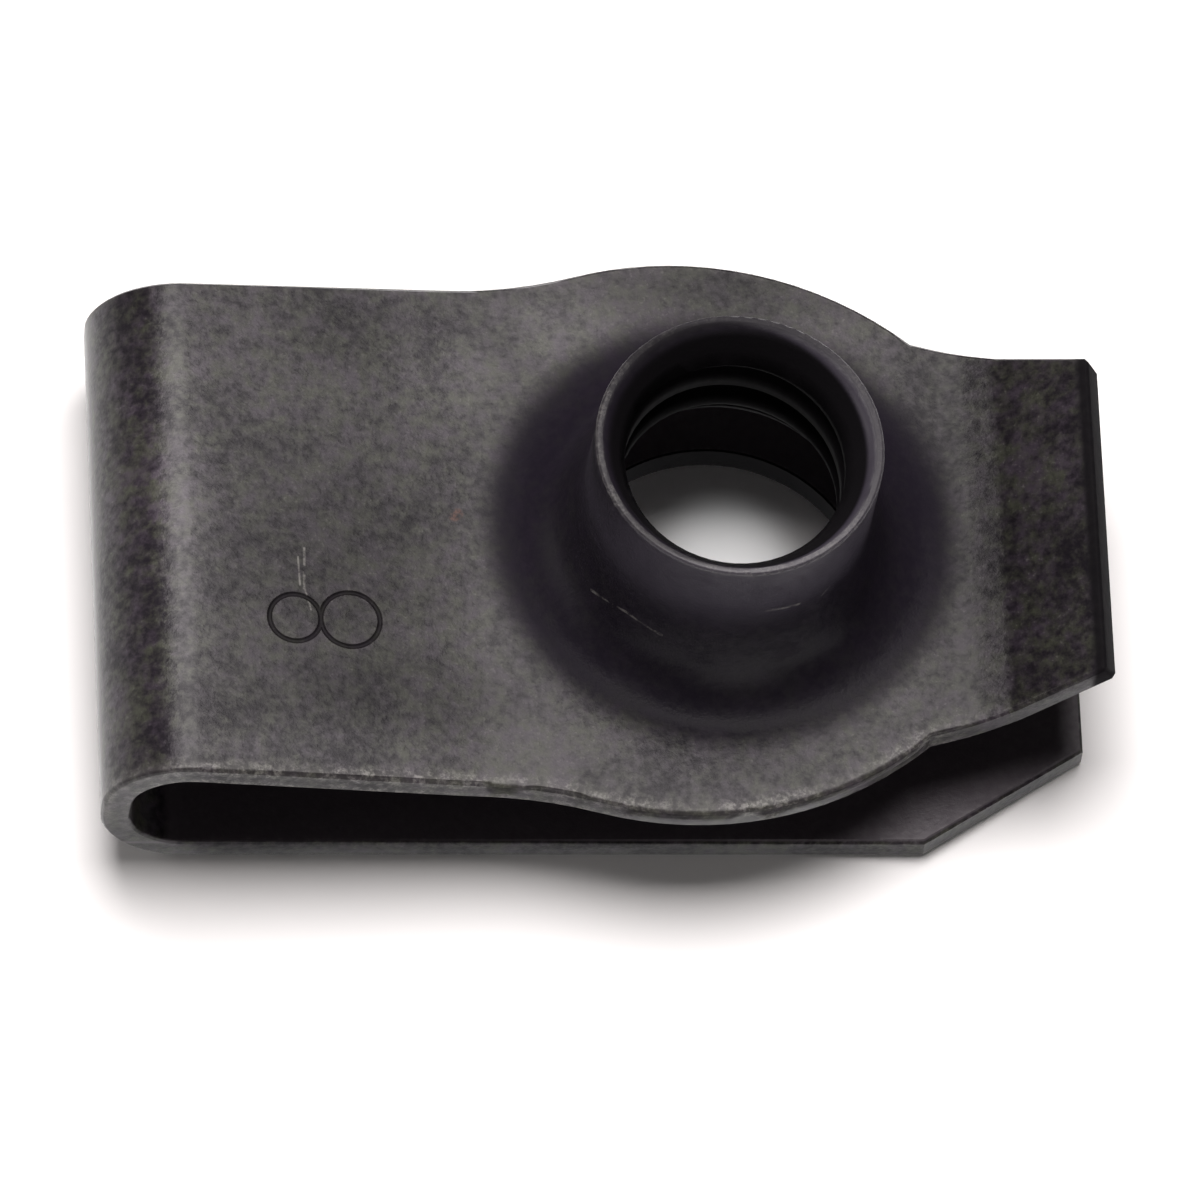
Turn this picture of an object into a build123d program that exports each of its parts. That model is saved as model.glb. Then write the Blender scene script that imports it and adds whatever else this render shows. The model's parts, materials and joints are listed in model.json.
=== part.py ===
from build123d import *
from math import atan2, cos, degrees, radians, sin, tan
import os

# Extruded U-clip nut for a 5/16 in screw, folded from one strip of spring steel. Millimetres.
# The origin is the centre of the clearance hole on the underside of the flat lower leg.
# +X runs from the fold to the open end, +Y across the strip, +Z up through the threaded boss.

# Strip
sheet = 0.93  # thickness of the spring steel
strip_width = 16.3  # width across the fold
strip_spread = 0.9  # angle by which each long edge opens away from the fold
edge_break = 0.12  # small chamfer along the punched edges

# Fold
fold_reach = 18.8  # from the screw axis to the outside of the fold
fold_height = 5.96  # over both legs at the fold
fold_radius = 2.64  # outside radius of each half of the fold

# Thread and boss, with heights above the upper leg's top face
thread_diameter = 7.94  # 5/16 in major diameter
thread_depth = 0.65
rim_land = 0.22  # flat ring round the mouth of the thread
mouth_flare = 0.16  # radial room between the mouth and the thread's major diameter
boss_height = 6.2
mouth_depth = 1.3  # over which the thinned mouth narrows to the core of the thread
shoulder_height = 2.3  # where the cone of the boss turns into the barrel
shoulder_round = 4.0
cone_spread = 1.0  # growth in radius from the barrel to the foot of the cone
foot_round = 1.9
run_in_round = 0.5  # where the drawn wall meets the lower end of the thread
rim_round = 0.1

# Upper leg, side view: fall from the fold, level seat for the boss, rising neck, lifted lip
leg_fall = 6.8
seat_fall = 2.35
neck_rise = 14.0
lip_rise = 26.0
seat_margin = 0.12  # flat sheet kept outside the foot of the boss
leg_knee = 20.0  # bend radius between leg and seat
neck_knee = 5.0  # bend radius between seat and neck
lip_knee = 2.5
neck_length = 1.37
lip_length = 3.1

# Upper leg, plan view
ear_land = 2.65  # flat sheet between the foot of the boss and the round ear's edge
ear_radius = 11.0  # of each long side of the ear
ear_setback = 0.99  # middle of the ear behind the screw axis, towards the fold
ear_fillet = 14.0  # hollow between the straight edge and the ear
neck_fillet = 3.2  # hollow between the ear and the neck
neck_width = 11.85  # at the crease of the lip
lip_width = 10.4  # at the free end

# Lower leg, plan view
hole_clearance = 0.78  # radial room round the screw
shoulder_reach = 6.1  # from the screw axis to where the corners are cut off
foot_reach_x = 11.05  # from the screw axis to the free end
foot_width = 11.05  # at the free end

# Sizes that follow
half_sheet = sheet / 2
bore_radius = thread_diameter / 2 - thread_depth
mouth_radius = thread_diameter / 2 + mouth_flare
barrel_radius = mouth_radius + rim_land
hole_radius = thread_diameter / 2 + hole_clearance
cone_foot = barrel_radius + cone_spread
cone_angle = degrees(atan2(cone_spread, shoulder_height))
boss_reach = cone_foot + foot_round * tan(radians((90 - cone_angle) / 2))
ear_offset = ear_radius - boss_reach - ear_land
hollow_foot = cone_foot + sheet * tan(radians(cone_angle)) - sheet / cos(radians(cone_angle))
thread_start = (hollow_foot - bore_radius) / tan(radians(cone_angle)) - sheet

fold_x = half_sheet - fold_reach
bend_radius = fold_radius - half_sheet
upper_bend_z = fold_height - fold_radius
fall_x = bend_radius * (1 + sin(radians(leg_fall)))
fold_top_z = upper_bend_z + bend_radius * cos(radians(leg_fall)) + fall_x * tan(radians(leg_fall))

seat_reach = boss_reach + seat_margin
leg_knee_x = -seat_reach - leg_knee * tan(radians((leg_fall - seat_fall) / 2))
leg_knee_z = fold_top_z - (leg_knee_x - fold_x) * tan(radians(leg_fall))
seat_z = leg_knee_z + leg_knee_x * tan(radians(seat_fall))
neck_knee_x = seat_reach + neck_knee * tan(radians((seat_fall + neck_rise) / 2))
neck_knee_z = seat_z - neck_knee_x * tan(radians(seat_fall))
crease_x = neck_knee_x + neck_length * cos(radians(neck_rise))
crease_z = neck_knee_z + neck_length * sin(radians(neck_rise))
lip_x = crease_x + lip_length * cos(radians(lip_rise))
lip_z = crease_z + lip_length * sin(radians(lip_rise))

split_z = fold_height / 2
blank = 4 * fold_reach  # larger than the clip each way, for the trimming sketches

# Cosines that tell the punched walls and their long edges from the other faces and edges
upright_axis = 0.99
wall_normal = 0.6
corner_edge = 0.9


def edge_at(x):
    """Half width of the strip at x, between its slowly spreading long edges."""
    return strip_width / 2 + (x + fold_reach) * tan(radians(strip_spread))


def is_punched_wall(face):
    """True for a face cut across the sheet, round the outline of the strip."""
    if face.geom_type == GeomType.CYLINDER:
        beside_screw = abs(face.center().Y) > hole_radius
        return abs(face.axis_of_rotation.direction.Z) > upright_axis and beside_screw
    beside_fold = face.center().X < fold_x + bend_radius
    return face.geom_type == GeomType.PLANE and abs(face.normal_at().Z) < wall_normal and not beside_fold


seat_plane = Plane(
    origin=(0, 0, seat_z),
    x_dir=(cos(radians(seat_fall)), 0, -sin(radians(seat_fall))),
    z_dir=(0, -1, 0),
)

with BuildPart() as clip:
    # The folded strip, as a line through the middle of the sheet with the sheet's thickness
    with BuildSketch(Plane.XZ) as side_view:
        with BuildLine():
            FilletPolyline(
                (foot_reach_x, half_sheet),
                (fold_x, half_sheet),
                (fold_x, fold_top_z),
                (leg_knee_x, leg_knee_z),
                (neck_knee_x, neck_knee_z),
                (crease_x, crease_z),
                (lip_x, lip_z),
                radius=[bend_radius, bend_radius, leg_knee, neck_knee, lip_knee],
            )
        trace(line_width=sheet)
    extrude(amount=ear_radius + sheet, both=True)

    # Upper leg cut to its outline: straight edges, round ear, narrow neck and tapered lip
    with BuildSketch(Plane.XY.offset(split_z)) as upper_waste:
        Rectangle(blank, blank)
        with BuildSketch(mode=Mode.PRIVATE) as upper_outline:
            with BuildLine():
                Polyline(
                    (-fold_reach - sheet, edge_at(-fold_reach - sheet)),
                    (-ear_setback, edge_at(-ear_setback)),
                    (-ear_setback, -edge_at(-ear_setback)),
                    (-fold_reach - sheet, -edge_at(-fold_reach - sheet)),
                    close=True,
                )
            make_face()
            with BuildSketch(mode=Mode.PRIVATE) as ear:
                with Locations((-ear_setback, -ear_offset)):
                    Circle(ear_radius)
                with Locations((-ear_setback, ear_offset)):
                    Circle(ear_radius, mode=Mode.INTERSECT)
            add(ear.sketch)
            neck_taper = (neck_width - lip_width) / 2 / (lip_x - crease_x)
            lip_end_x = lip_x + sheet
            neck_half = neck_width / 2 + crease_x * neck_taper
            lip_half = lip_width / 2 - sheet * neck_taper
            with BuildLine():
                Polyline(
                    (0, neck_half), (lip_end_x, lip_half), (lip_end_x, -lip_half), (0, -neck_half),
                    close=True,
                )
            make_face()
            corners = upper_outline.vertices().filter_by(lambda v: abs(v.Y) < ear_radius)
            inner = corners.filter_by(lambda v: -fold_reach < v.X < lip_x)
            fillet(inner.filter_by(lambda v: v.X < 0), radius=ear_fillet)
            fillet(inner.filter_by(lambda v: v.X > 0), radius=neck_fillet)
        add(upper_outline.sketch, mode=Mode.SUBTRACT)
    extrude(amount=blank, mode=Mode.SUBTRACT)

    # Lower leg cut to its outline: straight edges and two long cut corners
    with BuildSketch(Plane.XY.offset(split_z)) as lower_waste:
        Rectangle(blank, blank)
        with BuildLine():
            Polyline(
                (-fold_reach - sheet, edge_at(-fold_reach - sheet)),
                (shoulder_reach, edge_at(shoulder_reach)),
                (foot_reach_x, foot_width / 2),
                (foot_reach_x + sheet, foot_width / 2),
                (foot_reach_x + sheet, -foot_width / 2),
                (foot_reach_x, -foot_width / 2),
                (shoulder_reach, -edge_at(shoulder_reach)),
                (-fold_reach - sheet, -edge_at(-fold_reach - sheet)),
                close=True,
            )
        make_face(mode=Mode.SUBTRACT)
    extrude(amount=-blank, mode=Mode.SUBTRACT)

    # Boss drawn up out of the seat: foot, cone, shoulder and barrel round the screw axis
    with BuildSketch(seat_plane) as boss_wall:
        with BuildLine():
            FilletPolyline(
                (0, 0),
                (seat_reach, 0),
                (seat_reach, half_sheet),
                (cone_foot, half_sheet),
                (barrel_radius, half_sheet + shoulder_height),
                (barrel_radius, half_sheet + boss_height),
                (0, half_sheet + boss_height),
                radius=[0, 0, foot_round, shoulder_round, rim_round],
            )
            Line((0, half_sheet + boss_height), (0, 0))
        make_face()
    revolve(axis=Axis(seat_plane.origin, seat_plane.y_dir))

    # Inside of the boss: the drawn hollow, the core of the thread and the tapered mouth
    with BuildSketch(seat_plane) as boss_hollow:
        with BuildLine():
            FilletPolyline(
                (0, -sheet),
                (seat_reach, -sheet),
                (seat_reach, -half_sheet),
                (hollow_foot, -half_sheet),
                (bore_radius, half_sheet + thread_start),
                (bore_radius, half_sheet + boss_height - mouth_depth),
                (mouth_radius, half_sheet + boss_height),
                (0, half_sheet + boss_height),
                radius=[0, 0, foot_round + sheet, run_in_round, 0, 0],
            )
            Line((0, half_sheet + boss_height), (0, -sheet))
        make_face()
    revolve(axis=Axis(seat_plane.origin, seat_plane.y_dir), mode=Mode.SUBTRACT)

    # Clearance hole for the screw in the lower leg
    with BuildSketch(Plane.XY) as screw_hole:
        Circle(hole_radius)
    extrude(amount=sheet, mode=Mode.SUBTRACT)

    # Broken edges along the punched outline of both legs and the fold
    punched = clip.faces().filter_by(is_punched_wall)
    chamfer(punched.edges().filter_by(lambda e: abs(e.tangent_at(0.5).Z) < corner_edge), length=edge_break)

clip.part.label = "clip"
os.makedirs("parts", exist_ok=True)
export_step(clip.part, "parts/clip.step")
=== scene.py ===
"""Looks of an extruded U-clip nut: phosphated spring steel with a tapped boss, on a pale floor."""

import json
import logging
import math
from dataclasses import dataclass
from enum import Enum

import bpy
from mathutils import Matrix, Vector


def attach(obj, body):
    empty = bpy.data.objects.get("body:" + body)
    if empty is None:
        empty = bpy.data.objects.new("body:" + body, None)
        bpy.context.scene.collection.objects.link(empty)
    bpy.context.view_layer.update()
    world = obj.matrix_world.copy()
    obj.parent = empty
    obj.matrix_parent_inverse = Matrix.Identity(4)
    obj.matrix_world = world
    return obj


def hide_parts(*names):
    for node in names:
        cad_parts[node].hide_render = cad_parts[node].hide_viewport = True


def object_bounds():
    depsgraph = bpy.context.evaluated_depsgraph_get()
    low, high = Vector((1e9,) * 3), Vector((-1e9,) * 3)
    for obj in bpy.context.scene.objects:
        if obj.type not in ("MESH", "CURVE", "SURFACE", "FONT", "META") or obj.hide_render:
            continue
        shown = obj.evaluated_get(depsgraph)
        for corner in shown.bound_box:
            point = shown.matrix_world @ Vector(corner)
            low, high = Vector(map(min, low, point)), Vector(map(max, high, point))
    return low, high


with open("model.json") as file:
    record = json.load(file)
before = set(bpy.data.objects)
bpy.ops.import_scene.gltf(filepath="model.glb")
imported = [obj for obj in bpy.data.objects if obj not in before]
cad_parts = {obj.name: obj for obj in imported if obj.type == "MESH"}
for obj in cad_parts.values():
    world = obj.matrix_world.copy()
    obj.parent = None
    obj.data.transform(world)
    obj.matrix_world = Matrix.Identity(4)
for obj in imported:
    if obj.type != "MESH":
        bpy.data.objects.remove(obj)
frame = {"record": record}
cad_box = [list(corner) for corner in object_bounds()]

MM = 0.001
"""One millimetre in scene units."""

ROOT_BODY = "root"
CLIP_NODE = "clip"

Socket = bpy.types.NodeSocket
Colour = tuple[float, float, float, float]
Place = tuple[float, float, float]
Span = tuple[float, float]
"""The two values between which a mask rises from 0 to 1."""

WHITE: Colour = (1.0, 1.0, 1.0, 1.0)

log = logging.getLogger("u_clip_nut")


class Blend(Enum):
    """How a Mix node lays one colour over another."""

    OVER = "MIX"
    DARKEN = "MULTIPLY"


def clear_selection() -> None:
    """Deselect every object, so that the next operator acts only on what it is given."""
    if bpy.context.object and bpy.context.object.mode != "OBJECT":
        bpy.ops.object.mode_set(mode="OBJECT")
    bpy.ops.object.select_all(action="DESELECT")


def take(piece: bpy.types.Object) -> None:
    """Make one object the only selected and active one.

    Args:
        piece: the object that the next operators work on.
    """
    clear_selection()
    piece.select_set(True)
    bpy.context.view_layer.objects.active = piece


def settle(piece: bpy.types.Object) -> None:
    """Put an object's place and turn into its mesh, so that the object sits at the origin."""
    take(piece)
    bpy.ops.object.transform_apply(location=True, rotation=True, scale=True)


def carve(piece: bpy.types.Object, cutter: bpy.types.Object) -> None:
    """Cut one closed mesh out of another and remove the cutter.

    Args:
        piece: the object that keeps the result.
        cutter: the closed mesh that is cut away.
    """
    take(piece)
    modifier = piece.modifiers.new("carve", "BOOLEAN")
    modifier.operation = "DIFFERENCE"
    modifier.solver = "EXACT"
    modifier.object = cutter
    bpy.ops.object.modifier_apply(modifier=modifier.name)
    bpy.data.objects.remove(cutter, do_unlink=True)


class NodeSheet:
    """A node tree with short calls for adding, setting and joining nodes."""

    def __init__(self, tree: bpy.types.NodeTree) -> None:
        """Start from an empty tree.

        Args:
            tree: the node tree of a material or a world.
        """
        self.tree = tree
        tree.nodes.clear()

    def add(self, kind: str, settings: dict | None = None, **inputs: object) -> bpy.types.Node:
        """Add a node, set its properties and fill its inputs.

        Args:
            kind: the node's type name without the ShaderNode prefix.
            settings: the node's own properties.
            **inputs: input name, with spaces as underscores, to a value or an output socket.

        Returns:
            The new node.
        """
        node = self.tree.nodes.new("ShaderNode" + kind)
        for name, value in (settings or {}).items():
            setattr(node, name, value)
        for name, value in inputs.items():
            self.feed(node, name.replace("_", " "), value)
        return node

    def feed(self, node: bpy.types.Node, name: str | int, value: object) -> None:
        """Give one input a value, or link an output socket to it.

        Args:
            node: the node that takes the value.
            name: the input's name or its number.
            value: a plain value or an output socket.
        """
        socket = node.inputs[name]
        if isinstance(value, Socket):
            self.tree.links.new(value, socket)
        else:
            socket.default_value = value

    def math(self, operation: str, *values: Socket | float) -> Socket:
        """Add a Math node.

        Args:
            operation: the node's operation.
            *values: its inputs in order.

        Returns:
            The result's socket, not clamped.
        """
        node = self.add("Math", {"operation": operation})
        for number, value in enumerate(values):
            self.feed(node, number, value)
        return node.outputs[0]

    def product(self, first: Socket, *others: Socket | float) -> Socket:
        """Multiply masks and numbers.

        Args:
            first: the first mask.
            *others: what it is multiplied by, in order.

        Returns:
            The product's socket.
        """
        result = first
        for other in others:
            result = self.math("MULTIPLY", result, other)
        return result

    def joined(self, first: Socket, *others: Socket) -> Socket:
        """Join masks, so that each spot takes the strongest of them.

        Args:
            first: the first mask.
            *others: the masks that join it.

        Returns:
            The joined mask's socket.
        """
        result = first
        for other in others:
            result = self.math("MAXIMUM", result, other)
        return result

    def level(self, mask: Socket, gain: float | Socket, base: float | Socket) -> Socket:
        """Turn a mask into a level.

        Args:
            mask: the mask.
            gain: what the mask adds where it is 1.
            base: the level where the mask is 0.

        Returns:
            The level's socket.
        """
        return self.math("MULTIPLY_ADD", mask, gain, base)

    def dulled(self, level: Socket, mask: Socket, share: float) -> Socket:
        """Take a share of a level away under a mask.

        Args:
            level: the level that drops.
            mask: where it drops.
            share: how much of it goes where the mask is 1.

        Returns:
            The lower level's socket.
        """
        return self.product(level, self.level(mask, -share, 1.0))

    def vector(self, operation: str, *values: object) -> Socket:
        """Add a Vector Math node.

        Args:
            operation: the node's operation.
            *values: its inputs in order.

        Returns:
            The result's socket: the number for a length, a distance or a dot product.
        """
        node = self.add("VectorMath", {"operation": operation})
        for number, value in enumerate(values):
            self.feed(node, number, value)
        scalar = operation in ("LENGTH", "DISTANCE", "DOT_PRODUCT")
        return node.outputs["Value" if scalar else "Vector"]

    def multiplied(self, value: object, factor: Socket) -> Socket:
        """Multiply a vector or a colour by a number.

        Args:
            value: the vector or the colour.
            factor: the number.

        Returns:
            The product's socket.
        """
        return self.add("VectorMath", {"operation": "SCALE"}, Vector=value, Scale=factor).outputs[0]

    def split(self, value: Socket) -> tuple[Socket, Socket, Socket]:
        """Split a vector into its X, Y and Z."""
        return tuple(self.add("SeparateXYZ", Vector=value).outputs)

    def grey(self, level: Socket) -> Socket:
        """Turn a number into a grey."""
        return self.add("CombineColor", Red=level, Green=level, Blue=level).outputs[0]

    def ramp(self, value: Socket, span: Span) -> Socket:
        """Turn a stretch of values into a smooth 0 to 1.

        Args:
            value: the number to read.
            span: the value that gives 0 and the one that gives 1.

        Returns:
            The mask's socket.
        """
        node = self.add("MapRange", {"interpolation_type": "SMOOTHSTEP"})
        self.feed(node, "Value", value)
        self.feed(node, "From Min", span[0])
        self.feed(node, "From Max", span[1])
        return node.outputs["Result"]

    def tint(self, amount: object, under: object, over: object, how: Blend = Blend.OVER) -> Socket:
        """Lay one colour over another.

        Args:
            amount: how much of the upper colour shows.
            under: the lower colour.
            over: the upper colour.
            how: the blend.

        Returns:
            The mixed colour's socket.
        """
        node = self.add("Mix", {"data_type": "RGBA", "blend_type": how.value})
        self.feed(node, 0, amount)
        self.feed(node, 6, under)
        self.feed(node, 7, over)
        return node.outputs[2]


@dataclass(frozen=True)
class Mottle:
    """A noise in the coat: its waves in a millimetre, its octaves, and how strong the finer ones are."""

    per_mm: float
    octaves: float
    fineness: float

    def pattern(self, sheet: NodeSheet, spot: Socket) -> Socket:
        """Add the noise.

        Args:
            sheet: the material's nodes.
            spot: coordinates in millimetres.

        Returns:
            The pattern's socket, about 0.5 on average.
        """
        node = sheet.add(
            "TexNoise", Vector=spot, Scale=self.per_mm, Detail=self.octaves, Roughness=self.fineness
        )
        return node.outputs[0]


@dataclass(frozen=True)
class Scratch:
    """A pale line that handling has left in the coat, between two places in millimetres."""

    start: Place
    end: Place
    width: float = 0.05
    core: float = 0.4
    """The share of the width that is fully bare."""

    def mask(self, sheet: NodeSheet, spot: Socket) -> Socket:
        """Find the line.

        Args:
            sheet: the material's nodes.
            spot: coordinates in millimetres.

        Returns:
            A mask that is 1 on the line and 0 beside it.
        """
        run = Vector(self.end) - Vector(self.start)
        offset = sheet.vector("SUBTRACT", spot, self.start)
        along = sheet.math("DIVIDE", sheet.vector("DOT_PRODUCT", offset, tuple(run)), run.length_squared)
        along = sheet.math("MINIMUM", sheet.math("MAXIMUM", along, 0.0), 1.0)
        aside = sheet.vector("DISTANCE", offset, sheet.multiplied(tuple(run), along))
        return sheet.ramp(aside, (self.width, self.width * self.core))


@dataclass(frozen=True)
class Ring:
    """A struck ring groove in millimetres, seen from above, painted dark with the shade that falls in it."""

    middle: Place
    radius: float
    half_width: float
    edge: Span = (1.25, 0.7)
    # The shares of the half width where the groove's painted shade starts and where it is full.
    """The shares of the half width where the dirt starts and where it is full."""

    def mask(self, sheet: NodeSheet, spot: Socket) -> Socket:
        """Find the groove.

        Args:
            sheet: the material's nodes.
            spot: coordinates in millimetres.

        Returns:
            A mask that is 1 in the groove and 0 beside it.
        """
        away = sheet.vector("DISTANCE", spot, self.middle)
        aside = sheet.math("ABSOLUTE", sheet.math("SUBTRACT", away, self.radius))
        return sheet.ramp(aside, (self.half_width * self.edge[0], self.half_width * self.edge[1]))


@dataclass(frozen=True)
class TonePatch:
    """A broad soft oval, in millimetres seen from above, where the coat is paler or darker: random tone in
    most, painted highlight in two and painted shade in one.
    """

    middle: tuple[float, float]
    reach: tuple[float, float]
    shift: float
    edge: Span = (1.25, 0.15)
    """The shares of the reach where the oval starts and where it is full."""

    def mask(self, sheet: NodeSheet, spot: Socket) -> Socket:
        """Find the oval.

        Args:
            sheet: the material's nodes.
            spot: coordinates in millimetres.

        Returns:
            A mask that is the shift in the middle and fades to 0 at the rim.
        """
        offset = sheet.vector("SUBTRACT", spot, (*self.middle, 0.0))
        oval = sheet.vector("MULTIPLY", offset, (1 / self.reach[0], 1 / self.reach[1], 0.0))
        return sheet.product(sheet.ramp(sheet.vector("LENGTH", oval), self.edge), self.shift)


@dataclass(frozen=True)
class ClipZones:
    """Where each zone's mask starts and is full, in millimetres from the clearance hole's centre."""

    drawn_middle: Place = (0.1, 0.2, 0.0)
    drawn_reach: Span = (7.7, 6.4)
    upper_leg_height: Span = (2.6, 3.4)
    foot_middle: Place = (0.35, -0.55, 0.0)
    foot_reach: Span = (4.9, 6.4)
    barrel_outside: Span = (4.05, 4.20)
    barrel_near: Span = (5.2, 4.5)
    barrel_height: Span = (6.6, 9.0)
    bore_wall: Span = (4.14, 4.04)
    bore_top: Span = (10.85, 10.35)
    hole_wall: Span = (4.85, 4.80)
    hole_top: Span = (1.2, 1.0)
    cut_edge_facing: Span = (0.55, 0.25)
    cut_edge_reach: Span = (6.8, 7.6)
    cut_edge_across: Span = (-16.8, -15.4)
    lower_face_bottom: Span = (0.86, 0.91)
    lower_face_top: Span = (1.10, 0.98)
    rim_back_turn: float = 0.6
    rim_back_away: Span = (-2.0, 2.5)
    rim_height: Span = (10.5, 10.8)
    lip_end_across: Span = (10.9, 11.15)
    lip_end_height: Span = (3.0, 3.5)
    front_along: Span = (-4.6, -5.4)
    front_height: Span = (1.2, 3.4)
    front_across: Span = (9.0, 4.5)


class ClipMap:
    """Masks of the clip's zones, on one material's nodes."""

    def __init__(self, sheet: NodeSheet, zones: ClipZones) -> None:
        """Read a spot's place on the clip.

        Args:
            sheet: the material's nodes.
            zones: where the zones lie.
        """
        self.sheet = sheet
        self.zones = zones
        place = sheet.add("TexCoord").outputs["Object"]
        self.spot = sheet.add("Mapping", Vector=place, Scale=(1 / MM,) * 3).outputs[0]
        self.across, self.along, self.height = sheet.split(self.spot)
        self.reach = self._reach(self.spot)

    def _reach(self, offset: Socket) -> Socket:
        """Measure how far an offset goes sideways."""
        return self.sheet.vector("LENGTH", self.sheet.vector("MULTIPLY", offset, (1.0, 1.0, 0.0)))

    def _reach_from(self, middle: Place) -> Socket:
        """Measure the level distance from a middle."""
        return self._reach(self.sheet.vector("SUBTRACT", self.spot, middle))

    def drawn_and_shade(self) -> Socket:
        """Find the drawn boss, whose coat is painted darker, partly as its own tone and partly as painted
        shade on its slopes.

        Returns:
            A mask that is 1 on the boss and 0 on the flats round it.
        """
        near = self.sheet.ramp(self._reach_from(self.zones.drawn_middle), self.zones.drawn_reach)
        return self.sheet.product(near, self.sheet.ramp(self.height, self.zones.upper_leg_height))

    def foot(self) -> Socket:
        """Find the surroundings of the boss's foot.

        Returns:
            A mask that is 0 on the boss and 1 from its foot outwards.
        """
        return self.sheet.ramp(self._reach_from(self.zones.foot_middle), self.zones.foot_reach)

    def barrel_reflection(self) -> Socket:
        """Find the upper barrel, which is painted lighter and bluer as a painted reflection.

        Returns:
            A mask that is 1 under the rim and 0 at the shoulder.
        """
        outside = self.sheet.ramp(self.reach, self.zones.barrel_outside)
        near = self.sheet.ramp(self.reach, self.zones.barrel_near)
        return self.sheet.product(outside, near, self.sheet.ramp(self.height, self.zones.barrel_height))

    def bore(self) -> Socket:
        """Find the inside of the bore and of the clearance hole, which are painted dark with the shade that
        falls in them.

        Returns:
            A mask that is 1 deep in the bore and in the hole, and 0 at the mouth and outside.
        """
        thread = self.sheet.product(
            self.sheet.ramp(self.reach, self.zones.bore_wall),
            self.sheet.ramp(self.height, self.zones.upper_leg_height),
            self.sheet.ramp(self.height, self.zones.bore_top),
        )
        hole = self.sheet.product(
            self.sheet.ramp(self.reach, self.zones.hole_wall),
            self.sheet.ramp(self.height, self.zones.hole_top),
        )
        return self.sheet.joined(thread, hole)

    def cut_edges(self) -> Socket:
        """Find the sheared edges of the legs, which stay dark away from the fold.

        Returns:
            A mask that is 1 on upright faces well away from the boss.
        """
        _, _, upward = self.sheet.split(self.sheet.add("NewGeometry").outputs["Normal"])
        upright = self.sheet.ramp(self.sheet.math("ABSOLUTE", upward), self.zones.cut_edge_facing)
        away = self.sheet.ramp(self.reach, self.zones.cut_edge_reach)
        return self.sheet.product(upright, away, self.sheet.ramp(self.across, self.zones.cut_edge_across))

    def lower_face(self) -> Socket:
        """Find the lower leg's inner face in the gap, which is painted lighter with painted light.

        Returns:
            A mask that is 1 at the height of that face.
        """
        above = self.sheet.ramp(self.height, self.zones.lower_face_bottom)
        return self.sheet.product(above, self.sheet.ramp(self.height, self.zones.lower_face_top))

    def rim_back(self) -> Socket:
        """Find the far right of the rim, which is painted darker than the rest with painted shade.

        Returns:
            A mask that rises towards the back of the rim and its side next to the lip.
        """
        away = self.sheet.math("MULTIPLY_ADD", self.across, self.zones.rim_back_turn, self.along)
        behind = self.sheet.ramp(away, self.zones.rim_back_away)
        return self.sheet.product(behind, self.sheet.ramp(self.height, self.zones.rim_height))

    def lip_end(self) -> Socket:
        """Find the sheared end of the lip, which is rough and dark.

        Returns:
            A mask that is 1 on the upper leg's free end.
        """
        beyond = self.sheet.ramp(self.across, self.zones.lip_end_across)
        return self.sheet.product(beyond, self.sheet.ramp(self.height, self.zones.lip_end_height))

    def front(self) -> Socket:
        """Find the front of the upper leg, whose edge gets painted highlight on top of its wear.

        Returns:
            A mask that is 1 along the front edge, from the fold to the ear.
        """
        return self.sheet.product(
            self.sheet.ramp(self.along, self.zones.front_along),
            self.sheet.ramp(self.height, self.zones.front_height),
            self.sheet.ramp(self.across, self.zones.front_across),
        )


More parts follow.
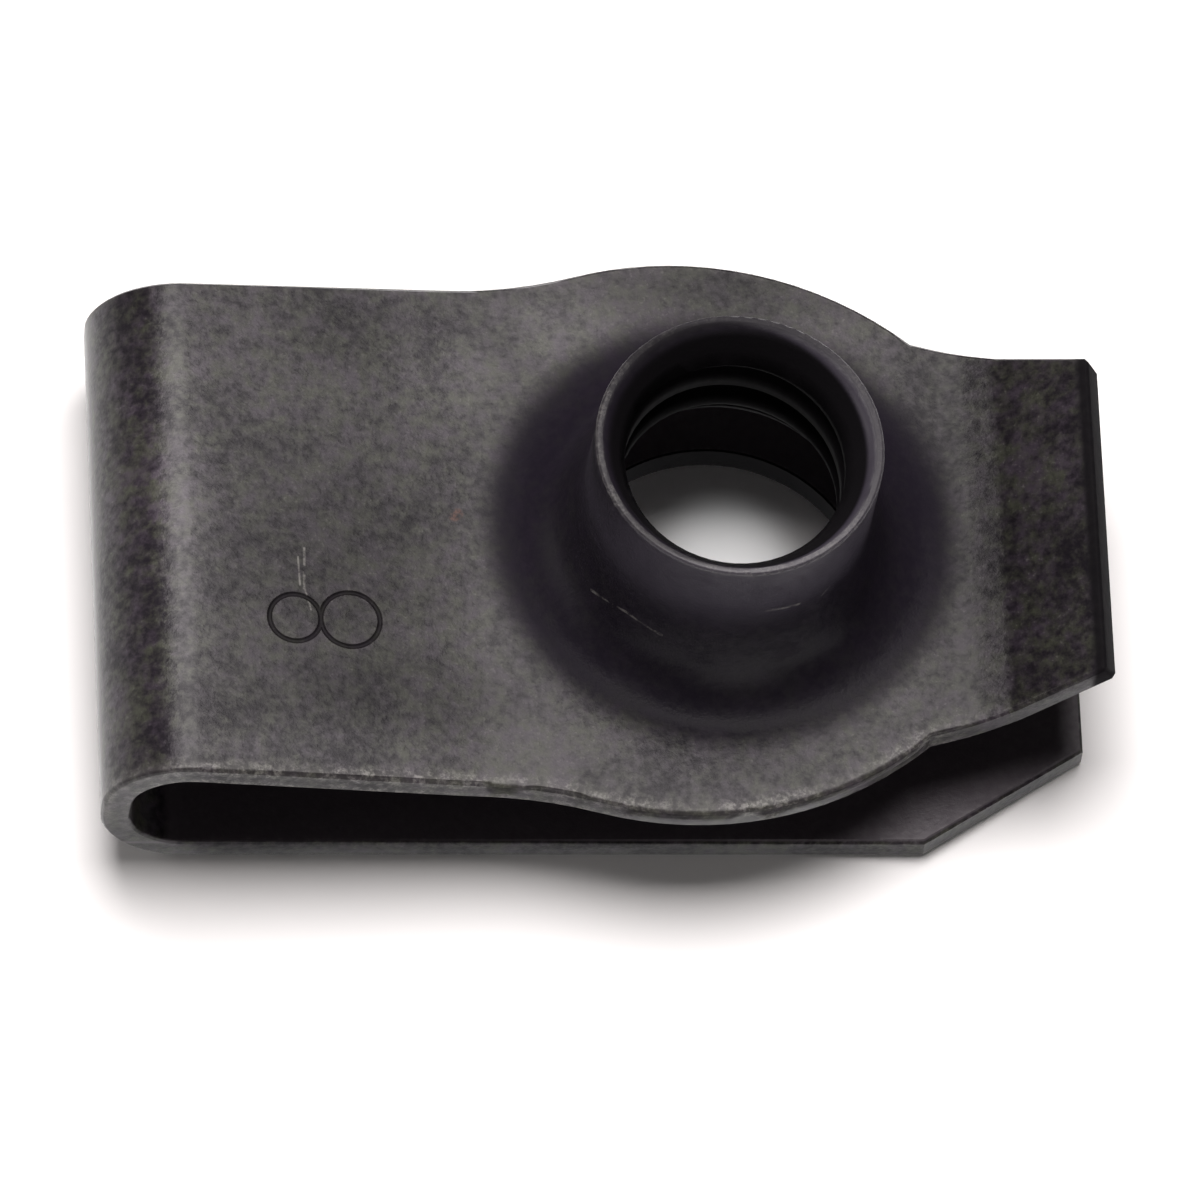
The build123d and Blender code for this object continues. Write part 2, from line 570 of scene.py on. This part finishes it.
@dataclass(frozen=True)
class EdgeWear:
    """Handling wear: a thin bright line on the outer edges, and a frosted band along the front one; the
    front's brighter line and the band are painted highlight as well.
    """

    line_reach: float = 0.20 * MM
    line_openness: Span = (0.95, 0.50)
    line_base: float = 0.10
    line_bright: float = 0.40
    # Painted highlight: the front edge's brighter line.
    front_line_highlight: float = 0.45
    band_reach: float = 0.55 * MM
    band_openness: Span = (0.99, 0.70)
    band_base: float = 0.085
    band_gain: float = 0.34
    stretch: Mottle = Mottle(0.30, 2.0, 0.5)
    stretch_span: Span = (0.42, 0.58)
    stretch_base: float = 0.25
    speckle_span: Span = (0.40, 0.60)
    grain_span: Span = (0.38, 0.60)
    samples: int = 8

    def mask(self, clip: ClipMap, speckle: Socket, grain: Socket) -> Socket:
        """Find the outer edges, where handling has rubbed the coat thin, and the front edge, which also gets
        painted highlight.

        Args:
            clip: the clip's zones.
            speckle: the coarse noise that breaks the wear up.
            grain: the fine noise that makes it sparkle.

        Returns:
            A mask that is 1 on the barest edges.
        """
        sheet = clip.sheet
        line = sheet.ramp(self._openness(sheet, self.line_reach), self.line_openness)
        band = sheet.ramp(self._openness(sheet, self.band_reach), self.band_openness)
        front = clip.front()
        patchy = self._patchy(clip, speckle, grain)
        # Painted highlight along the front edge, on top of the wear.
        bright = sheet.level(front, self.front_line_highlight, self.line_bright)
        line = sheet.product(line, sheet.level(sheet.product(patchy, bright), 1.0, self.line_base))
        frost_and_highlight = sheet.product(band, front, sheet.level(patchy, self.band_gain, self.band_base))
        return sheet.joined(line, frost_and_highlight)

    def _patchy(self, clip: ClipMap, speckle: Socket, grain: Socket) -> Socket:
        """Break the wear up into bright and dull stretches.

        Args:
            clip: the clip's zones.
            speckle: the coarse noise.
            grain: the fine noise.

        Returns:
            A mask of bright spots, with fewer of them in the dull stretches.
        """
        sheet = clip.sheet
        stretch = sheet.ramp(self.stretch.pattern(sheet, clip.spot), self.stretch_span)
        spots = sheet.product(sheet.ramp(speckle, self.speckle_span), sheet.ramp(grain, self.grain_span))
        return sheet.product(spots, sheet.level(stretch, 1 - self.stretch_base, self.stretch_base))

    def _openness(self, sheet: NodeSheet, reach: float) -> Socket:
        """Measure how solid the steel is behind a spot.

        Args:
            sheet: the material's nodes.
            reach: how deep to look, in scene units.

        Returns:
            A number that is 1 on flats and less near outer edges.
        """
        settings = {"samples": self.samples, "inside": True, "only_local": True}
        return sheet.add("AmbientOcclusion", settings, Distance=reach).outputs["AO"]


@dataclass(frozen=True)
class PhosphateFinish:
    """Dark oiled phosphate on spring steel, mottled, darker where drawn, rubbed bright along the edges, with
    painted shade, painted light, a painted reflection and painted highlight in places.
    """

    name: str = "dark_phosphate"
    zones: ClipZones = ClipZones()
    edge_wear: EdgeWear = EdgeWear()

    # Colours
    dark: Colour = (0.007, 0.0055, 0.008, 1.0)
    pale_violet: Colour = (0.025, 0.018, 0.027, 1.0)
    pale_green: Colour = (0.025, 0.0265, 0.017, 1.0)
    # Painted reflection: the upper barrel's lighter, bluer band.
    barrel_reflection: Colour = (0.034, 0.030, 0.040, 1.0)
    # Partly painted shade: the drawn boss's darker coat.
    drawn_and_shade: Colour = (0.011, 0.009, 0.014, 1.0)
    # Bare steel for wear, and painted highlight along the front edge.
    bare_steel_and_highlight: Colour = (0.34, 0.33, 0.31, 1.0)
    # Painted shade in the bore, the hole, the struck grooves and the rim's back; dirt on the lip's end.
    shade_and_dirt_colour: Colour = (0.0066, 0.0060, 0.0070, 1.0)
    # Painted light: lifts the shaded inner face of the lower leg.
    gap_light: Colour = (0.056, 0.048, 0.056, 1.0)
    rust: Colour = (0.060, 0.022, 0.014, 1.0)

    # Mottle, from broad to fine, and the shares that make its tone
    cloud: Mottle = Mottle(0.22, 3.0, 0.5)
    cloud_share: float = 0.30
    blotch: Mottle = Mottle(0.9, 4.0, 0.6)
    blotch_share: float = 0.20
    speckle: Mottle = Mottle(3.4, 3.0, 0.65)
    speckle_share: float = 0.50
    grain: Mottle = Mottle(9.0, 2.0, 0.6)
    crystal_span: Span = (0.36, 0.64)
    hue: Mottle = Mottle(1.6, 3.0, 0.6)
    hue_offset: Place = (31.0, 17.0, 5.0)
    hue_span: Span = (0.34, 0.66)

    # How far each layer covers the coat
    drawn_cover: float = 0.85
    rubbed_grain_span: Span = (0.56, 0.74)
    rubbed_tone_span: Span = (0.46, 0.60)
    rubbed_cover: float = 0.08
    # The grooves' painted shade, broken up by the speckle.
    stroke_speckle: float = 0.9
    stroke_base: float = 0.10
    lip_end_cover: float = 0.95
    # Painted shade at the back of the rim.
    rim_back_cover: float = 0.65
    # Painted shade in the hollows: how far the occlusion looks, how finely, and how dark it gets.
    cavity_reach: float = 0.35 * MM
    cavity_samples: int = 6
    cavity_base: float = 0.25
    scratch_span: Span = (0.36, 0.60)
    scratch_cover: float = 0.30
    rust_span: Span = (0.38, 0.60)

    # Oil: how rough it is, how strongly it shines, and how far that drops zone by zone
    roughness_low: float = 0.32
    roughness_high: float = 0.43
    # Roughness under the painted shade and the dirt.
    shade_and_dirt_roughness: float = 0.30
    gloss_low: float = 0.10
    gloss_high: float = 0.27
    barrel_gloss: float = 0.14
    drawn_evenness: float = 0.75
    foot_dulling: float = 0.90
    cut_edge_dulling: float = 0.55
    # Shine lost under the painted shade and the dirt.
    shade_and_dirt_dulling: float = 0.90

    # Relief of the crystals
    relief_speckle: float = 0.6
    relief_grain: float = 0.4
    relief_strength: float = 0.5
    relief_height: float = 0.03 * MM

    # Single marks on the upper leg and round the boss
    rust_speck: Scratch = Scratch((-7.95, 0.62, 5.00), (-7.85, 0.72, 5.00), 0.22)
    tone_and_light_patches: tuple[TonePatch, ...] = (
        # Painted highlight: the pale strips by the fold and on its curve.
        TonePatch((-16.4, 0.0), (1.3, 9.5), 0.60),
        TonePatch((-17.6, 0.0), (1.3, 10.5), 0.25),
        TonePatch((-15.0, 6.0), (2.6, 3.0), 0.06),
        TonePatch((-8.2, 5.6), (1.8, 2.3), 0.28),
        TonePatch((-4.5, 7.2), (2.0, 1.5), 0.28),
        TonePatch((-13.0, -7.3), (5.5, 1.1), 0.20),
        TonePatch((-1.5, -8.8), (4.5, 1.2), 0.03),
        TonePatch((-11.5, -1.5), (3.6, 5.2), -0.32),
        TonePatch((-11.2, 6.8), (2.2, 2.2), -0.18),
        TonePatch((-9.5, -5.5), (4.6, 1.7), -0.22),
        # Painted shade: the neck and the lip, which tilt away from the light.
        TonePatch((7.8, 0.0), (2.6, 9.0), -0.32),
        TonePatch((0.8, 8.4), (5.0, 1.8), -0.29),
    )
    scratches: tuple[Scratch, ...] = (
        Scratch((-12.55, -0.65, 5.55), (-12.60, -2.00, 5.55)),
        Scratch((-12.75, -0.95, 5.57), (-12.72, -1.90, 5.57), 0.04),
        Scratch((-12.58, -2.00, 5.55), (-12.42, -2.70, 5.53), 0.04),
        Scratch((-4.02, -2.46, 6.12), (-3.02, -3.39, 6.49), 0.06),
        Scratch((-3.02, -3.39, 6.49), (-2.00, -4.13, 6.40), 0.06),
        Scratch((1.03, -4.26, 8.26), (2.03, -3.92, 7.96), 0.10),
        Scratch((2.78, -3.46, 7.60), (3.00, -3.27, 7.86), 0.05),
    )

    def material(self, rings: list[Ring]) -> bpy.types.Material:
        """Build the finish.

        Args:
            rings: the struck grooves, which are painted with shade.

        Returns:
            The material, patterned on Object coordinates.
        """
        material = bpy.data.materials.new(self.name)
        material.use_nodes = True
        PhosphateCoat(self, NodeSheet(material.node_tree), rings).shade()
        return material


class PhosphateCoat:
    """The layers of the phosphate finish, on one material's nodes."""

    def __init__(self, finish: PhosphateFinish, sheet: NodeSheet, rings: list[Ring]) -> None:
        """Set out the patterns and the zones that the layers share.

        Args:
            finish: the finish's values.
            sheet: the material's nodes.
            rings: the struck grooves, which are painted with shade.
        """
        self.finish = finish
        self.sheet = sheet
        self.clip = ClipMap(sheet, finish.zones)
        self.speckle = finish.speckle.pattern(sheet, self.clip.spot)
        self.grain = finish.grain.pattern(sheet, self.clip.spot)
        self.tone = self._tone()
        self.crystals = sheet.ramp(self.tone, finish.crystal_span)
        self.lift = self._lift()
        self.drawn_and_shade = self.clip.drawn_and_shade()
        self.barrel_reflection = self.clip.barrel_reflection()
        self.shade_and_dirt = self._shade_and_dirt(rings)

    def shade(self) -> None:
        """Join the layers in one shader."""
        finish, sheet = self.finish, self.sheet
        relief = sheet.level(
            self.speckle, finish.relief_speckle, sheet.product(self.grain, finish.relief_grain)
        )
        bump = sheet.add(
            "Bump", Height=relief, Strength=finish.relief_strength, Distance=finish.relief_height
        )
        shader = sheet.add(
            "BsdfPrincipled", Base_Color=self._colour(), Roughness=self._roughness(), Metallic=0.0,
            Normal=bump.outputs[0], Specular_IOR_Level=self._gloss(),
        )
        sheet.add("OutputMaterial", Surface=shader.outputs[0])

    def _tone(self) -> Socket:
        """Mix the coat's mottle from its three noises.

        Returns:
            The mottle's socket, about 0.5 on average.
        """
        finish, sheet, spot = self.finish, self.sheet, self.clip.spot
        tone = sheet.product(self.speckle, finish.speckle_share)
        tone = sheet.level(finish.blotch.pattern(sheet, spot), finish.blotch_share, tone)
        return sheet.level(finish.cloud.pattern(sheet, spot), finish.cloud_share, tone)

    def _lift(self) -> Socket:
        """Add the tone patches up, painted highlight and painted shade among them.

        Returns:
            A factor for colour and gloss, 1 where there is no smudge.
        """
        lift = 1.0
        for tone_patch in self.finish.tone_and_light_patches:
            lift = self.sheet.math("ADD", lift, tone_patch.mask(self.sheet, self.clip.spot))
        return lift

    def _shade_and_dirt(self, rings: list[Ring]) -> Socket:
        """Find where the coat is painted dark: painted shade in the bore, the hole, the struck grooves and
        the back of the rim, and dirt on the lip's end.

        Args:
            rings: the struck grooves.

        Returns:
            A mask that is 1 where painted shade and dirt cover the coat.
        """
        finish, sheet = self.finish, self.sheet
        broken = sheet.level(self.speckle, finish.stroke_speckle, finish.stroke_base)
        strokes = [sheet.product(ring.mask(sheet, self.clip.spot), broken) for ring in rings]
        lip_end = sheet.product(self.clip.lip_end(), finish.lip_end_cover)
        rim_back = sheet.product(self.clip.rim_back(), finish.rim_back_cover)
        return sheet.joined(self.clip.bore(), *strokes, lip_end, rim_back)

    def _colour(self) -> Socket:
        """Lay the coat, the wear, the painted light and shade and the dirt over each other.

        Returns:
            The colour's socket.
        """
        finish, sheet = self.finish, self.sheet
        colour = sheet.tint(self._rubbed(), self._coat(), finish.bare_steel_and_highlight)
        # Painted light on the lower leg's shaded inner face.
        colour = sheet.tint(self.clip.lower_face(), colour, finish.gap_light)
        # Painted shade in the hollows.
        colour = sheet.tint(1.0, colour, self._cavity_shade(), Blend.DARKEN)
        # Wear, with painted highlight along the front edge.
        colour = sheet.tint(self._worn(), colour, finish.bare_steel_and_highlight)
        rusty = finish.rust_speck.mask(sheet, self.clip.spot)
        rusty = sheet.product(rusty, sheet.ramp(self.speckle, finish.rust_span))
        colour = sheet.tint(rusty, colour, finish.rust)
        # Painted shade in the bore, the hole, the grooves and the rim's back, and dirt on the lip's end.
        return sheet.tint(self.shade_and_dirt, colour, finish.shade_and_dirt_colour)

    def _cavity_shade(self) -> Socket:
        """Darken the hollows with painted shade.

        Returns:
            A grey that is white on open faces.
        """
        finish, sheet = self.finish, self.sheet
        settings = {"samples": finish.cavity_samples}
        openness = sheet.add("AmbientOcclusion", settings, Distance=finish.cavity_reach).outputs["AO"]
        return sheet.grey(sheet.level(openness, 1 - finish.cavity_base, finish.cavity_base))

    def _coat(self) -> Socket:
        """Colour the phosphate: mottled and patched on the flats, with painted highlight and painted shade
        among the patches; smooth and darker on the boss, partly as painted shade; lighter on the barrel as a
        painted reflection.

        Returns:
            The colour's socket.
        """
        finish, sheet = self.finish, self.sheet
        hue = finish.hue.pattern(sheet, sheet.vector("ADD", self.clip.spot, finish.hue_offset))
        pale = sheet.tint(sheet.ramp(hue, finish.hue_span), finish.pale_violet, finish.pale_green)
        # Tone patches, among them painted highlight and painted shade.
        colour = sheet.multiplied(sheet.tint(self.crystals, finish.dark, pale), self.lift)
        # The boss darker, partly as painted shade.
        colour = sheet.tint(sheet.product(self.drawn_and_shade, finish.drawn_cover), colour, finish.drawn_and_shade)
        # Painted reflection on the upper barrel.
        return sheet.tint(self.barrel_reflection, colour, finish.barrel_reflection)

    def _rubbed(self) -> Socket:
        """Find the crystals' tips that handling has rubbed bare on the flats.

        Returns:
            A mask of fine faint spots.
        """
        finish, sheet = self.finish, self.sheet
        tips = sheet.product(
            sheet.ramp(self.grain, finish.rubbed_grain_span), sheet.ramp(self.tone, finish.rubbed_tone_span)
        )
        flat = sheet.math("SUBTRACT", 1.0, self.drawn_and_shade)
        return sheet.product(tips, flat, finish.rubbed_cover)

    def _worn(self) -> Socket:
        """Join the worn edges, with the painted highlight along the front, and the scratches.

        Returns:
            A mask that is 1 on bare steel.
        """
        finish, sheet = self.finish, self.sheet
        broken = sheet.product(sheet.ramp(self.speckle, finish.scratch_span), finish.scratch_cover)
        lines = [sheet.product(line.mask(sheet, self.clip.spot), broken) for line in finish.scratches]
        return sheet.joined(finish.edge_wear.mask(self.clip, self.speckle, self.grain), *lines)

    def _roughness(self) -> Socket:
        """Make the crystals rougher, and the places with painted shade and dirt too.

        Returns:
            The roughness's socket.
        """
        finish, sheet = self.finish, self.sheet
        spread = finish.roughness_high - finish.roughness_low
        roughness = sheet.level(self.crystals, spread, finish.roughness_low)
        return sheet.level(self.shade_and_dirt, finish.shade_and_dirt_roughness, roughness)

    def _gloss(self) -> Socket:
        """Set how strongly the oil shines, zone by zone.

        Returns:
            The specular level's socket.
        """
        finish, sheet = self.finish, self.sheet
        even = sheet.dulled(self.crystals, self.drawn_and_shade, finish.drawn_evenness)
        gloss = sheet.level(even, finish.gloss_high - finish.gloss_low, finish.gloss_low)
        gloss = sheet.level(self.barrel_reflection, finish.barrel_gloss, gloss)
        gloss = sheet.product(gloss, self.lift)
        gloss = sheet.dulled(gloss, sheet.product(self.clip.foot(), self.drawn_and_shade), finish.foot_dulling)
        gloss = sheet.dulled(gloss, self.clip.cut_edges(), finish.cut_edge_dulling)
        return sheet.dulled(gloss, self.shade_and_dirt, finish.shade_and_dirt_dulling)


@dataclass(frozen=True)
class PaperFinish:
    """Matt white ground, which is an even white card to what mirrors it."""

    name: str = "white_ground"
    white: Colour = (0.92, 0.92, 0.92, 1.0)

    def material(self) -> bpy.types.Material:
        """Build the ground's material.

        Returns:
            The material, which glows for glossy rays only, so that it still takes the shadow.
        """
        material = bpy.data.materials.new(self.name)
        material.use_nodes = True
        sheet = NodeSheet(material.node_tree)
        mirrored = sheet.add("LightPath").outputs["Is Glossy Ray"]
        glow = sheet.add("Emission", Color=WHITE, Strength=mirrored)
        paper = sheet.add("BsdfDiffuse", Color=self.white)
        both = sheet.add("AddShader")
        sheet.feed(both, 0, paper.outputs[0])
        sheet.feed(both, 1, glow.outputs[0])
        sheet.add("OutputMaterial", Surface=both.outputs[0])
        return material


@dataclass
class TappedThread:
    """Groove that the tap cut into the boss, as a closed helical cutter.

    It runs from below the seat to above it along the thread's leaning axis, and fades out at its top.
    """

    seat: Vector
    up: Vector
    core_radius: float
    pitch: float = 25.4 / 18 * MM
    groove_depth: float = 0.45 * MM
    groove_floor: float = 0.18 * MM
    groove_overlap: float = 0.12 * MM
    flank_angle: float = math.radians(30)
    below: float = 3.6 * MM
    above: float = 1.7 * MM
    fade: float = 1.1 * MM
    fade_share: float = 0.16
    steps_per_turn: int = 96
    weld_gap: float = 0.0005 * MM

    def cutter(self) -> bpy.types.Object:
        """Sweep the groove's section along the helix and close its ends.

        Returns:
            The cutter, standing in its place on the boss's axis.
        """
        groove = self._section()
        turns = (self.below + self.above) / self.pitch
        screw = groove.modifiers.new("helix", "SCREW")
        screw.angle = math.tau * turns
        screw.screw_offset = self.pitch * turns
        screw.steps = round(self.steps_per_turn * turns)
        screw.render_steps = screw.steps
        screw.use_normal_calculate = True
        bpy.ops.object.modifier_apply(modifier=screw.name)
        bpy.ops.object.mode_set(mode="EDIT")
        bpy.ops.mesh.select_all(action="SELECT")
        bpy.ops.mesh.remove_doubles(threshold=self.weld_gap)
        bpy.ops.mesh.select_all(action="SELECT")
        bpy.ops.mesh.normals_make_consistent(inside=False)
        bpy.ops.object.mode_set(mode="OBJECT")
        self._run_out(groove)
        turn = Vector((0, 0, 1)).rotation_difference(self.up).to_matrix().to_4x4()
        groove.matrix_world = Matrix.Translation(self.seat - self.up * self.below) @ turn
        settle(groove)
        return groove

    def _section(self) -> bpy.types.Object:
        """Draw the groove's section: narrow at its floor, wide at the bore.

        Returns:
            One face, upright beside the Z axis.
        """
        inner = self.core_radius - self.groove_overlap
        outer = self.core_radius + self.groove_depth
        half_floor = self.groove_floor / 2
        half_mouth = half_floor + (outer - inner) * math.tan(self.flank_angle)
        clear_selection()
        bpy.ops.mesh.primitive_plane_add(size=1.0, location=(0, 0, 0))
        groove = bpy.context.object
        groove.name = "thread_cutter"
        corners = ((inner, -half_mouth), (outer, -half_floor), (inner, half_mouth), (outer, half_floor))
        for vertex, (reach, height) in zip(groove.data.vertices, corners):
            vertex.co = (reach, 0, height)
        return groove

    def _run_out(self, groove: bpy.types.Object) -> None:
        """Draw the groove's last turn inwards at the top, so that it runs out below the rim.

        Args:
            groove: the cutter, still upright at the origin.
        """
        top = self.below + self.above
        for vertex in groove.data.vertices:
            near_top = min(max((vertex.co.z - top + self.fade) / self.fade, 0.0), 1.0)
            shrink = 1 - self.fade_share * near_top
            vertex.co.x *= shrink
            vertex.co.y *= shrink


@dataclass
class StampedDigit:
    """A plain figure 8 struck into the upper leg, as two touching ring grooves.

    Each groove is the trace of a round wire of the stroke's radius, whose middle floats above the face.
    """

    place: Vector
    slope: float
    small_ring: float = 0.78 * MM
    large_ring: float = 0.90 * MM
    stroke: float = 0.10 * MM
    lift: float = 0.045 * MM

    def _layout(self) -> tuple[tuple[float, float], ...]:
        """List each ring's radius and its shift along the leg."""
        middle = self.small_ring + self.large_ring
        return (self.small_ring, -middle / 2), (self.large_ring, middle / 2)

    def rings(self) -> list[Ring]:
        """Describe the two grooves for the finish.

        Returns:
            The grooves where they meet the leg's face.
        """
        lean = Matrix.Rotation(self.slope, 4, "Y")
        half_width = math.sqrt(self.stroke ** 2 - self.lift ** 2) / MM
        middles = [(radius, self.place + lean @ Vector((shift, 0, 0))) for radius, shift in self._layout()]
        return [Ring(tuple(spot / MM), radius / MM, half_width) for radius, spot in middles]

    def cutters(self) -> list[bpy.types.Object]:
        """Make the two rings, the figure's foot towards the boss.

        Returns:
            The ring cutters, lying in the leg's face.
        """
        rings = []
        lean = Matrix.Translation(self.place) @ Matrix.Rotation(self.slope, 4, "Y")
        for radius, shift in self._layout():
            clear_selection()
            bpy.ops.mesh.primitive_torus_add(
                major_radius=radius, minor_radius=self.stroke, major_segments=64, minor_segments=16,
            )
            ring = bpy.context.object
            ring.name = "stamp_ring"
            ring.matrix_world = lean @ Matrix.Translation((shift, 0, self.lift))
            settle(ring)
            rings.append(ring)
        return rings


@dataclass
class SpeedNut:
    """The folded clip with its tapped boss."""

    finish: PhosphateFinish
    weld_gap: float = 0.0002 * MM
    flat_angle: float = math.radians(0.05)
    smooth_angle: float = math.radians(40)
    flat_weight: int = 80
    stamp_x: float = -12.07 * MM
    stamp_y: float = -2.98 * MM

    def build(self) -> bpy.types.Object:
        """Copy the solid, cut its thread, strike its mark and dress it.

        Returns:
            The finished clip.
        """
        clip = self._copy_solid()
        self._merge_flats(clip)
        carve(clip, self._thread().cutter())
        digit = self._digit(clip)
        for ring in digit.cutters():
            carve(clip, ring)
        self._smooth(clip)
        clip.data.materials.clear()
        clip.data.materials.append(self.finish.material(digit.rings()))
        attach(clip, ROOT_BODY)
        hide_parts(CLIP_NODE)
        return clip

    def _copy_solid(self) -> bpy.types.Object:
        """Copy the solid's mesh and merge its loose triangles.

        Returns:
            The copy, closed and with its normals outwards.
        """
        node = bpy.data.objects[CLIP_NODE]
        mesh = node.data.copy()
        mesh.transform(node.matrix_world)
        clip = bpy.data.objects.new("clip_finished", mesh)
        bpy.context.scene.collection.objects.link(clip)
        take(clip)
        bpy.ops.object.mode_set(mode="EDIT")
        bpy.ops.mesh.select_all(action="SELECT")
        bpy.ops.mesh.remove_doubles(threshold=self.weld_gap)
        bpy.ops.mesh.normals_make_consistent(inside=False)
        bpy.ops.object.mode_set(mode="OBJECT")
        return clip

    def _merge_flats(self, clip: bpy.types.Object) -> None:
        """Join the triangles of every flat face into one face, so that the flats shade evenly.

        Args:
            clip: the clip, closed.
        """
        take(clip)
        bpy.ops.object.mode_set(mode="EDIT")
        bpy.ops.mesh.select_all(action="SELECT")
        bpy.ops.mesh.dissolve_limited(angle_limit=self.flat_angle)
        bpy.ops.object.mode_set(mode="OBJECT")

    def _thread(self) -> TappedThread:
        """Read the thread's axis and core from the record's mount.

        Returns:
            The thread, whose mount's axis leaves downwards.
        """
        mount = next(m for m in frame["record"]["mounts"] if m["name"] == "thread")
        return TappedThread(
            seat=Vector(mount["pos_m"]),
            up=-Vector(mount["axis"]).normalized(),
            core_radius=mount["dims"]["r_mm"] * MM,
        )

    def _digit(self, clip: bpy.types.Object) -> StampedDigit:
        """Find the leg's top face under the mark, and its slope.

        Args:
            clip: the clip that the mark is struck into.

        Returns:
            The figure, set on the face.
        """
        sky = Vector((self.stamp_x, self.stamp_y, 1.0))
        _, place, normal, _ = clip.ray_cast(sky, Vector((0, 0, -1)))
        return StampedDigit(place=place, slope=math.atan2(normal.x, normal.z))

    def _smooth(self, clip: bpy.types.Object) -> None:
        """Shade the rounds smooth and keep the flats flat.

        Args:
            clip: the clip with all its cuts.
        """
        take(clip)
        bpy.ops.object.shade_smooth_by_angle(angle=self.smooth_angle)
        weighted = clip.modifiers.new("flats", "WEIGHTED_NORMAL")
        weighted.keep_sharp = True
        weighted.weight = self.flat_weight
        bpy.ops.object.modifier_apply(modifier=weighted.name)


@dataclass(frozen=True)
class Softbox:
    """A square soft lamp that faces the clip: its place and side in metres, its power in watts."""

    name: str
    place: Place
    side: float
    power: float

    def hang(self, warmth: tuple[float, float, float]) -> None:
        """Hang the lamp.

        Args:
            warmth: the colour of its light.
        """
        clear_selection()
        bpy.ops.object.light_add(type="AREA", location=self.place)
        lamp = bpy.context.object
        lamp.name = self.name
        lamp.data.shape = "SQUARE"
        lamp.data.size = self.side
        lamp.data.energy = self.power
        lamp.data.color = warmth
        lamp.rotation_euler = (-Vector(self.place)).to_track_quat("-Z", "Y").to_euler()


@dataclass(frozen=True)
class BoreBeam:
    """A narrow soft beam down the boss's leaning axis, in millimetres, that lights the ground in the hole."""

    name: str = "bore_beam"
    place: Place = (8.7, -30.3, 200.0)
    target: Place = (0.5, 1.1, 0.0)
    angle: float = math.radians(1.5)
    softness: float = 0.5
    power: float = 0.62

    def aim(self) -> None:
        """Place the lamp and turn it to its target."""
        place = Vector(self.place) * MM
        clear_selection()
        bpy.ops.object.light_add(type="SPOT", location=place)
        lamp = bpy.context.object
        lamp.name = self.name
        lamp.data.spot_size = self.angle
        lamp.data.spot_blend = 1.0
        lamp.data.shadow_soft_size = self.softness * MM
        lamp.data.energy = self.power
        lamp.rotation_euler = (Vector(self.target) * MM - place).to_track_quat("-Z", "Y").to_euler()


@dataclass(frozen=True)
class Viewpoint:
    """A long lens above and in front of the clip, a little turned and rolled, in radians and metres."""

    turn: float = 0.16088
    tilt: float = 1.10861
    roll: float = 0.13116
    distance: float = 583.8 * MM
    slide: tuple[float, float] = (-3.2825 * MM, 0.1485 * MM)
    lens: float = 577.1
    sensor_width: float = 36.0
    clip_start: float = 0.01
    clip_end: float = 10.0

    def set_up(self) -> None:
        """Place the camera and make it the scene's own."""
        sight = Vector((
            math.sin(self.turn) * math.cos(self.tilt),
            math.cos(self.turn) * math.cos(self.tilt),
            -math.sin(self.tilt),
        ))
        level = Vector((math.cos(self.turn), -math.sin(self.turn), 0))
        rise = level.cross(sight)
        right = level * math.cos(self.roll) + rise * math.sin(self.roll)
        upward = rise * math.cos(self.roll) - level * math.sin(self.roll)
        data = bpy.data.cameras.new("camera")
        data.lens = self.lens
        data.sensor_width = self.sensor_width
        data.clip_start = self.clip_start
        data.clip_end = self.clip_end
        camera = bpy.data.objects.new("camera", data)
        bpy.context.scene.collection.objects.link(camera)
        turn = Matrix((right, upward, -sight)).transposed().to_4x4()
        spot = -sight * self.distance + right * self.slide[0] + upward * self.slide[1]
        camera.matrix_world = Matrix.Translation(spot) @ turn
        bpy.context.scene.camera = camera


@dataclass
class Studio:
    """Floor, soft lights and the camera."""

    ground: PaperFinish
    floor_side: float = 4.0
    warmth: tuple[float, float, float] = (1.0, 0.955, 0.945)
    softboxes: tuple[Softbox, ...] = (
        Softbox("back_softbox", (0.0, 0.182, 0.572), 0.38, 5.6),
        Softbox("left_card", (-0.60, 0.10, 0.22), 0.40, 0.9),
        Softbox("front_card", (0.12, -0.62, 0.10), 0.40, 1.0),
    )
    beam: BoreBeam = BoreBeam()
    viewpoint: Viewpoint = Viewpoint()
    world_strength: float = 0.05
    world_colour: Colour = (1.0, 0.94, 0.90, 1.0)

    def build(self) -> None:
        """Set the floor, the world, the lamps and the camera."""
        self._floor()
        self._world()
        for softbox in self.softboxes:
            softbox.hang(self.warmth)
        self.beam.aim()
        self.viewpoint.set_up()

    def _floor(self) -> None:
        """Lay the ground under the clip."""
        clear_selection()
        bpy.ops.mesh.primitive_plane_add(size=self.floor_side, location=(0, 0, cad_box[0][2]))
        floor = bpy.context.object
        floor.name = "ground"
        settle(floor)
        floor.data.materials.append(self.ground.material())

    def _world(self) -> None:
        """Surround the scene with an even warm grey that the camera sees as white."""
        world = bpy.data.worlds.new("studio_world")
        world.use_nodes = True
        bpy.context.scene.world = world
        sheet = NodeSheet(world.node_tree)
        seen = sheet.add("LightPath").outputs["Is Camera Ray"]
        strength = sheet.level(seen, 1.0 - self.world_strength, self.world_strength)
        tone = sheet.tint(seen, self.world_colour, WHITE)
        sky = sheet.add("Background", Color=tone, Strength=strength)
        sheet.add("OutputWorld", Surface=sky.outputs[0])


def main() -> None:
    """Build the clip and its surroundings in order."""
    logging.basicConfig(level=logging.INFO, format="%(name)s: %(message)s")
    bpy.context.scene.view_settings.view_transform = "Standard"
    clip = SpeedNut(PhosphateFinish()).build()
    log.info("%s: %d vertices, %d faces", clip.name, len(clip.data.vertices), len(clip.data.polygons))
    Studio(PaperFinish()).build()
    log.info("studio ready")


if __name__ == "__main__":
    main()
